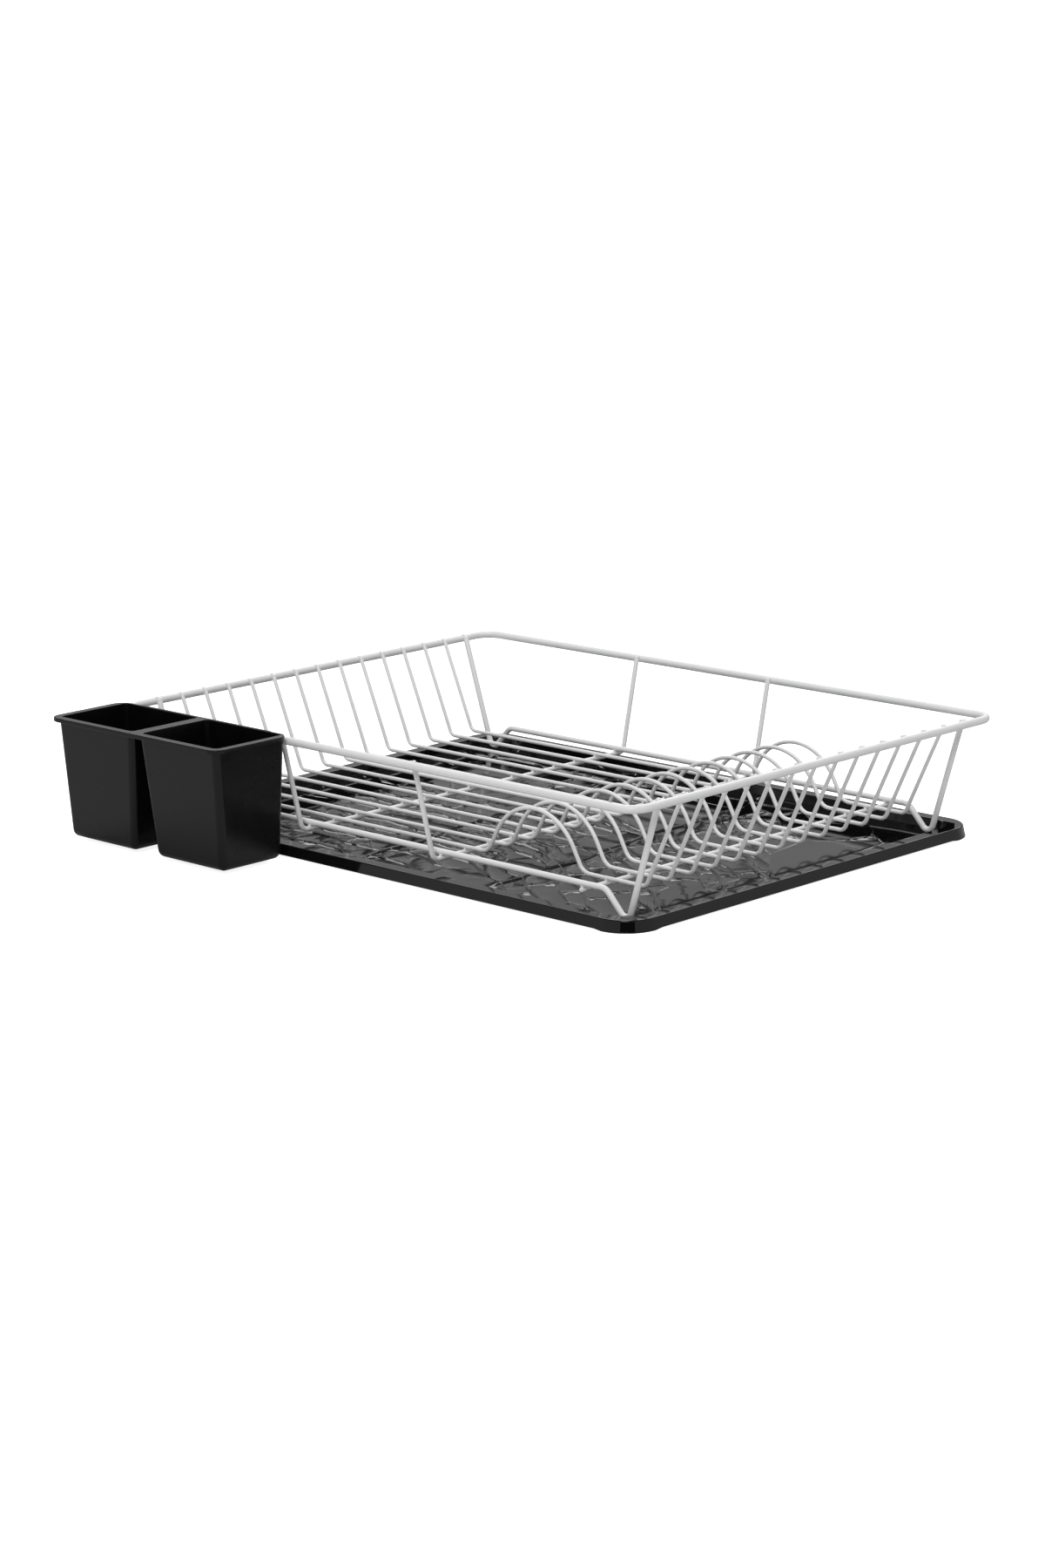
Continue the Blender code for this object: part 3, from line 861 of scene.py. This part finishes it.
def tray_outline(out, corner):
    """A ring round the tray with two more points beside each corner, where the corner pads end."""
    points = rounded_rectangle(floor_half.x + out, floor_half.y + out, corner, TRAY_CORNER_STEPS)
    steps, ring = TRAY_CORNER_STEPS + 1, []
    for quarter in range(4):
        arc = points[quarter * steps:(quarter + 1) * steps]
        turn = quarter * math.pi / 2
        first = (arc[0][0] + PAD_RUN * math.sin(turn), arc[0][1] - PAD_RUN * math.cos(turn))
        last = (arc[-1][0] - PAD_RUN * math.cos(turn), arc[-1][1] - PAD_RUN * math.sin(turn))
        ring += [first, *arc, last]
    return ring


outline = tray_outline(0, FLOOR_CORNER)
print("the outline has", len(outline), "points")

# %% [markdown]
# A constrained Delaunay triangulation takes the outline and all lines of the ribs as edges, and fills
# the flat parts between them with as few triangles as it can. A plain grid would have to be far finer
# to show the same edges.

# %% Triangulate the floor
MERGE_WITHIN = 0.004

spots, lines = list(outline), [(i, (i + 1) % len(outline)) for i in range(len(outline))]
for line, half, _ in ribs:
    for row in rib_lines(line, half)[0]:
        lines += [(len(spots) + i, len(spots) + i + 1) for i in range(len(row) - 1)]
        spots += row
flat, _, floor_faces, *_ = delaunay_2d_cdt([Vector(spot) for spot in spots], lines, [], 0, MERGE_WITHIN)
floor_spots = np.array([tuple(spot) for spot in flat])
floor_heights = heights_at(floor_spots)
print(len(flat), "points and", len(floor_faces), "triangles in the floor")

# %% [markdown]
# ## The tray's walls
# Round the floor the moulding goes on: a low sloping wall up to a flat flange, a rounded edge, and a
# thin skirt down to the worktop. It is lofted from rings of equal length. Each edge that a mould
# maker would ease is a few rings on a small arc, and those arcs catch the thin highlights that
# draw the tray's outline. The corner pads reach a little lower than the skirt's sides.

# %% Rings of the tray
FLOOR_TOP = 1.5
EDGE_STEPS = 4
EDGE_RADIUS = 0.9
FOOT_OF_WALL, FOOT_OF_WALL_TURN = 0.6, math.radians(80)
SKIRT_LIFT = 0.8
SKIRT_FOOT = ((0.12, 0.55), (0.0, 0.4), (0.1, 0.0))
WALL = 1.5
OUTER_CORNER = 23.0


def tray_rings():
    """Rings of the moulding from the floor outwards: (out from the floor, height, corner, lift)."""
    top = (tray_high.z - tray_low.z) * 1000
    flange = SLOPE_MM + FLANGE_MM
    foot = flange + FLARE_MM
    skirt_corner = OUTER_CORNER + FLARE_MM
    quarter = [math.pi / 2 * i / EDGE_STEPS for i in range(EDGE_STEPS + 1)]
    rings = [(0, FLOOR_TOP, FLOOR_CORNER, 0)]
    for i in range(1, EDGE_STEPS):
        a = FOOT_OF_WALL_TURN * i / EDGE_STEPS
        rings.append((FOOT_OF_WALL * math.sin(a), FLOOR_TOP + FOOT_OF_WALL * (1 - math.cos(a)),
                      FLOOR_CORNER, 0))
    rings += [(SLOPE_MM + EDGE_RADIUS * (1 - math.cos(a)), top - EDGE_RADIUS * (1 - math.sin(a)),
               FLOOR_CORNER + SLOPE_MM, 0) for a in quarter]
    rings += [(flange - EDGE_RADIUS * (1 - math.sin(a)), top - EDGE_RADIUS * (1 - math.cos(a)),
               OUTER_CORNER, 0) for a in quarter]
    rings += [(foot - inset, z, skirt_corner, SKIRT_LIFT) for inset, z in SKIRT_FOOT]
    rings += [(foot - WALL, 0.0, skirt_corner - WALL, SKIRT_LIFT),
              (flange - WALL, top - WALL, OUTER_CORNER - WALL, 0),
              (SLOPE_MM + WALL, top - WALL, FLOOR_CORNER + SLOPE_MM + WALL, 0),
              (WALL, 0.0, FLOOR_CORNER + WALL, 0)]
    return rings


def tray_ring(out, z, corner, lift):
    """One ring: corners at height z, with the sides lifted between the corner pads."""
    per_corner = TRAY_CORNER_STEPS + 3
    return [Vector((x, y, z + (lift if i % per_corner in (0, per_corner - 1) else 0))) / 1000
            for i, (x, y) in enumerate(tray_outline(out, corner))]


print(len(tray_rings()), "rings of", len(outline), "points")

# %% [markdown]
# Floor and walls become one mesh: their shared ring of points is merged. Weighted normals keep the
# large flat faces flat to the eye, so that only the eased edges are shaded round.

# %% Build the tray
MERGE_DISTANCE = 0.00002

tray = bmesh.new()
floor_verts = [tray.verts.new((x / 1000, y / 1000, (FLOOR_TOP + rise) / 1000))
               for (x, y), rise in zip(floor_spots, floor_heights)]
for face in floor_faces:
    tray.faces.new([floor_verts[i] for i in face])
rings = [[tray.verts.new(point) for point in tray_ring(*ring)] for ring in tray_rings()]
bridge(tray, rings)
tray.faces.new(list(reversed(rings[-1])))
bmesh.ops.remove_doubles(tray, verts=tray.verts, dist=MERGE_DISTANCE)
drip_tray = add_piece("moulded_drip_tray", tray, tray_finish, "tray",
                      ["drip_tray"], sharp=50)
weighted = drip_tray.modifiers.new("flat_faces_stay_flat", "WEIGHTED_NORMAL")
weighted.mode = "FACE_AREA"
weighted.keep_sharp = True
print("tray:", len(drip_tray.data.polygons), "faces")

# %% [markdown]
# ## Satin black moulding
# The holder is moulded in polypropylene from a spark-eroded mould, which leaves a fine even grain.
# It spreads the highlight into a soft sheen. The real grain is about 0.05 mm, far too fine to see
# or to sample here, so most of it is the roughness, and the noise is drawn ten times as coarse.

# %% Holder material
GRAIN_MM = 0.5
SHEEN_CLOUD_MM = 25.0


def satin_black_moulding():
    """Black plastic with a fine grain, and clouds of sheen."""
    material = bpy.data.materials.new("black_polypropylene_spark_eroded_moulding")
    material.use_nodes = True
    tree = material.node_tree
    shader = tree.nodes["Principled BSDF"]
    place = add_node(tree, "ShaderNodeTexCoord").outputs["Object"]
    cloud = add_node(tree, "ShaderNodeTexNoise", Vector=place, Scale=1000 / SHEEN_CLOUD_MM, Detail=3.0)
    tint = add_node(tree, "ShaderNodeMix", {"data_type": "RGBA"}, _0=cloud.outputs["Fac"],
                    _6=linear("#070707"), _7=linear("#0C0C0C"))
    dull = add_node(tree, "ShaderNodeMapRange", Value=cloud.outputs["Fac"], From_Min=0.3, From_Max=0.7,
                    To_Min=0.20, To_Max=0.29)
    grain = add_node(tree, "ShaderNodeTexNoise", Vector=place, Scale=1000 / GRAIN_MM, Detail=1.0)
    bump = add_node(tree, "ShaderNodeBump", Height=grain.outputs["Fac"], Strength=0.12,
                    Distance=0.00005)
    tree.links.new(tint.outputs[2], shader.inputs["Base Color"])
    tree.links.new(dull.outputs["Result"], shader.inputs["Roughness"])
    tree.links.new(bump.outputs["Normal"], shader.inputs["Normal"])
    shader.inputs["IOR"].default_value = 1.49
    shader.inputs["Specular IOR Level"].default_value = 0.34
    return material


holder_finish = satin_black_moulding()
print("made", holder_finish.name)

# %% [markdown]
# ## Cutlery holder
# Two tapered cups share one lip. The walls lean so that the moulding slips off its core, and every
# edge is rounded for the same reason. The shape is lofted: rings down the outside of each cup, rings
# down its hollow, and a flat top and underside of the lip filled in between the rings.

# %% Rings of the holder
LIP_HEIGHT, LIP_CORNER, LIP_OVERHANG = 3.0, 9.5, 4.4
CUP_WALL, CUP_GAP, CUP_CORNER, CUP_FOOT = 1.8, 6.0, 5.0, 5.0
LEAN_END, LEAN_MIDDLE, LEAN_FRONT, LEAN_BACK = 3.1, 8.2, 5.5, 3.4
LEAST_CORNER, CORNER_STEPS = 1.2, 10
holder_low, holder_high = (corner * 1000 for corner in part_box("cutlery_holder"))
back_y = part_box("rim_ring")[0].y * 1000 - WELD_GAP * 1000
middle_x = (holder_low.x + holder_high.x) / 2
lip_z = holder_high.z - LIP_HEIGHT


def level_ring(x0, x1, y0, y1, corner, z):
    """A rectangle with round corners at one height."""
    middle = ((x0 + x1) / 2, (y0 + y1) / 2)
    return [Vector((middle[0] + x, middle[1] + y, z)) / 1000
            for x, y in rounded_rectangle((x1 - x0) / 2, (y1 - y0) / 2, corner, CORNER_STEPS)]


def cup_ring(side, z, pull):
    """One ring of a cup's wall at height z, pulled in on all sides."""
    lean = (lip_z + LIP_HEIGHT / 2 - z) / (lip_z + LIP_HEIGHT / 2 - holder_low.z)
    outer = middle_x + side * (middle_x - holder_low.x - LIP_OVERHANG - LEAN_END * lean - pull)
    inner = middle_x + side * (CUP_GAP / 2 + LEAN_MIDDLE * lean + pull)
    y0 = holder_low.y + LIP_OVERHANG + LEAN_FRONT * lean + pull
    y1 = back_y - LEAN_BACK * lean - pull
    corner = max(CUP_CORNER - pull, LEAST_CORNER)
    return level_ring(min(outer, inner), max(outer, inner), y0, y1, corner, z)


def lip_ring(inset, z):
    """One ring round the lip at height z, a little inside its outline."""
    return level_ring(holder_low.x + inset, holder_high.x - inset, holder_low.y + inset, back_y - inset,
                      LIP_CORNER - inset, z)


print("the lip is", round(holder_high.x - holder_low.x), "by", round(back_y - holder_low.y), "mm")

# %% [markdown]
# The lip is an eased ring. Its flat top has two holes, which are the mouths of the hollows, and its
# flat underside has two where the cups leave it. Each cup has an inner and an outer skin, and both
# turn in a quarter round into a flat bottom.

# %% Loft the holder
OVERLAP, NECK = 1.0, 0.8
EASED = 0.6
ARC = [math.pi / 2 * i / 6 for i in range(7)]


def fill_between(mesh, outer, holes):
    """Flat faces between one ring and the rings of holes in it."""
    loops = [outer, *holes]
    verts = [vert for loop in loops for vert in loop]
    for triangle in tessellate_polygon([[vert.co for vert in loop] for loop in loops]):
        mesh.faces.new([verts[i] for i in triangle])


def new_ring(mesh, points):
    """Corners of the mesh at these points."""
    return [mesh.verts.new(point) for point in points]


holder = bmesh.new()
top_z = holder_high.z
lip = [new_ring(holder, lip_ring(EASED * (1 - math.cos(a)), top_z - EASED * (1 - math.sin(a))))
       for a in reversed(ARC)]
lip += [new_ring(holder, lip_ring(EASED * (1 - math.cos(a)), lip_z + EASED * (1 - math.sin(a))))
        for a in ARC]
bridge(holder, lip)
mouths, sockets = [], []
for side in (-1, 1):
    rows = [(top_z - EASED * (1 - math.sin(a)), CUP_WALL - EASED * (1 - math.cos(a)))
            for a in reversed(ARC)]
    floor, radius = holder_low.z + CUP_WALL, CUP_FOOT - CUP_WALL
    rows += [(floor + radius * (1 - math.sin(a)), CUP_WALL + radius * (1 - math.cos(a))) for a in ARC]
    hollow = [new_ring(holder, cup_ring(side, z, pull)) for z, pull in rows]
    bridge(holder, hollow)
    holder.faces.new(hollow[-1])
    mouths.append(hollow[0])
    sockets.append(new_ring(holder, cup_ring(side, lip_z, CUP_WALL / 2)))
    rows = [(lip_z + OVERLAP, 0.0), (lip_z - NECK, 0.0)]
    rows += [(holder_low.z + CUP_FOOT * (1 - math.sin(a)), CUP_FOOT * (1 - math.cos(a))) for a in ARC]
    shell = [new_ring(holder, cup_ring(side, z, pull)) for z, pull in rows]
    bridge(holder, shell)
    holder.faces.new(shell[-1])
fill_between(holder, lip[0], mouths)
fill_between(holder, lip[-1], sockets)
cups = add_piece("moulded_cutlery_holder", holder, holder_finish, "holder",
                 ["cutlery_holder"], sharp=50)
cups.modifiers.new("flat_faces_stay_flat", "WEIGHTED_NORMAL").keep_sharp = True
print("holder:", len(cups.data.polygons), "faces")

# %% [markdown]
# The hook grows out of the back of the lip, wraps closely round the rail and ends a little below it.
# It is one profile, an arc with a short leg, extruded along the rail, with a bevel on all its edges.

# %% Hook
HOOK_THICK, HOOK_DROP, HOOK_FIT = 1.2, 8.0, 0.3
HOOK_TO_CORNER, HOOK_TO_CROSS = 22.8, 6.2
HOOK_OVER, HOOK_UNDER, HOOK_EASED = 120, 135, 0.3
ROOT_IN_LIP, ROOT_TOP, ROOT_FOOT = 1.1, 3.7, 2.2
rail_y, rail_z = (rim_low.y + rim["radius"]) * 1000, rim_z * 1000
inner_radius = rim["radius"] * 1000 + HOOK_FIT
outer_radius = inner_radius + HOOK_THICK
ends = (rim_low.x * 1000 + HOOK_TO_CORNER,
        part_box("cross_wire_left")[0].x * 1000 - HOOK_TO_CROSS)


def rail_arc(radius, start, end):
    """Points on a circle round the rail, in degrees from its inner side over its top."""
    turns = [math.radians(start + (end - start) * i / 10) for i in range(11)]
    return [(rail_y + radius * math.cos(a), rail_z + radius * math.sin(a)) for a in turns]


foot_z = rim_high.z * 1000 - HOOK_DROP
profile = [(back_y - ROOT_IN_LIP, rail_z + ROOT_TOP), *rail_arc(outer_radius, HOOK_OVER, 0),
           (rail_y + outer_radius, foot_z), (rail_y + inner_radius, foot_z),
           *rail_arc(inner_radius, 0, HOOK_UNDER), (back_y - ROOT_IN_LIP, rail_z + ROOT_FOOT)]
hook = bmesh.new()
hook_ends = [new_ring(hook, [Vector((x, y, z)) / 1000 for y, z in profile]) for x in ends]
bridge(hook, hook_ends)
hook.faces.new(list(reversed(hook_ends[0])))
hook.faces.new(hook_ends[1])
rail_hook = add_piece("moulded_rail_hook", hook, holder_finish, "holder")
bevel = rail_hook.modifiers.new("eased_edges", "BEVEL")
bevel.width, bevel.segments = HOOK_EASED / 1000, 3
print("hook:", round(ends[1] - ends[0]), "mm long")

# %% [markdown]
# ## The whole object's box
# The last lines measure the whole object once more, to show that the visual model fills the same box
# as the CAD model.

# %% Finish
last_low, last_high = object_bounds()
shift = max((last_low - cad_low).length, (last_high - cad_high).length)
print("the box changed by", round(1000 * shift, 3), "mm")
